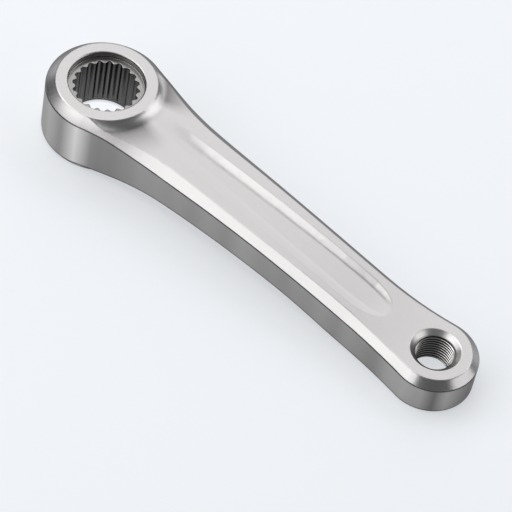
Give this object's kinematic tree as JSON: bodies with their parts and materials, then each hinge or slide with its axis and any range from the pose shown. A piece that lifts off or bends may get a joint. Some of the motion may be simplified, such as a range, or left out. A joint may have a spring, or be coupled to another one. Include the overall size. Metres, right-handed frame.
{
  "type": "bicycle crank arm",
  "caption": "Left bicycle crank arm: a forged aluminium lever with a splined spindle eye, a channelled tapering arm and a threaded pedal eye.",
  "frame": {"origin": "on the spindle axis, in the inner boss face that faces the bicycle", "axes": "+X from the spindle axis to the pedal axis, +Z along the spindle axis, outwards from the bicycle"},
  "size_m": [0.1865, 0.0424, 0.0241],
  "materials": {
    "metal": "satin, finely polished and clear"
  },
  "bodies": {
    "root": {"crank_arm": "metal"}
  },
  "joints": []
}
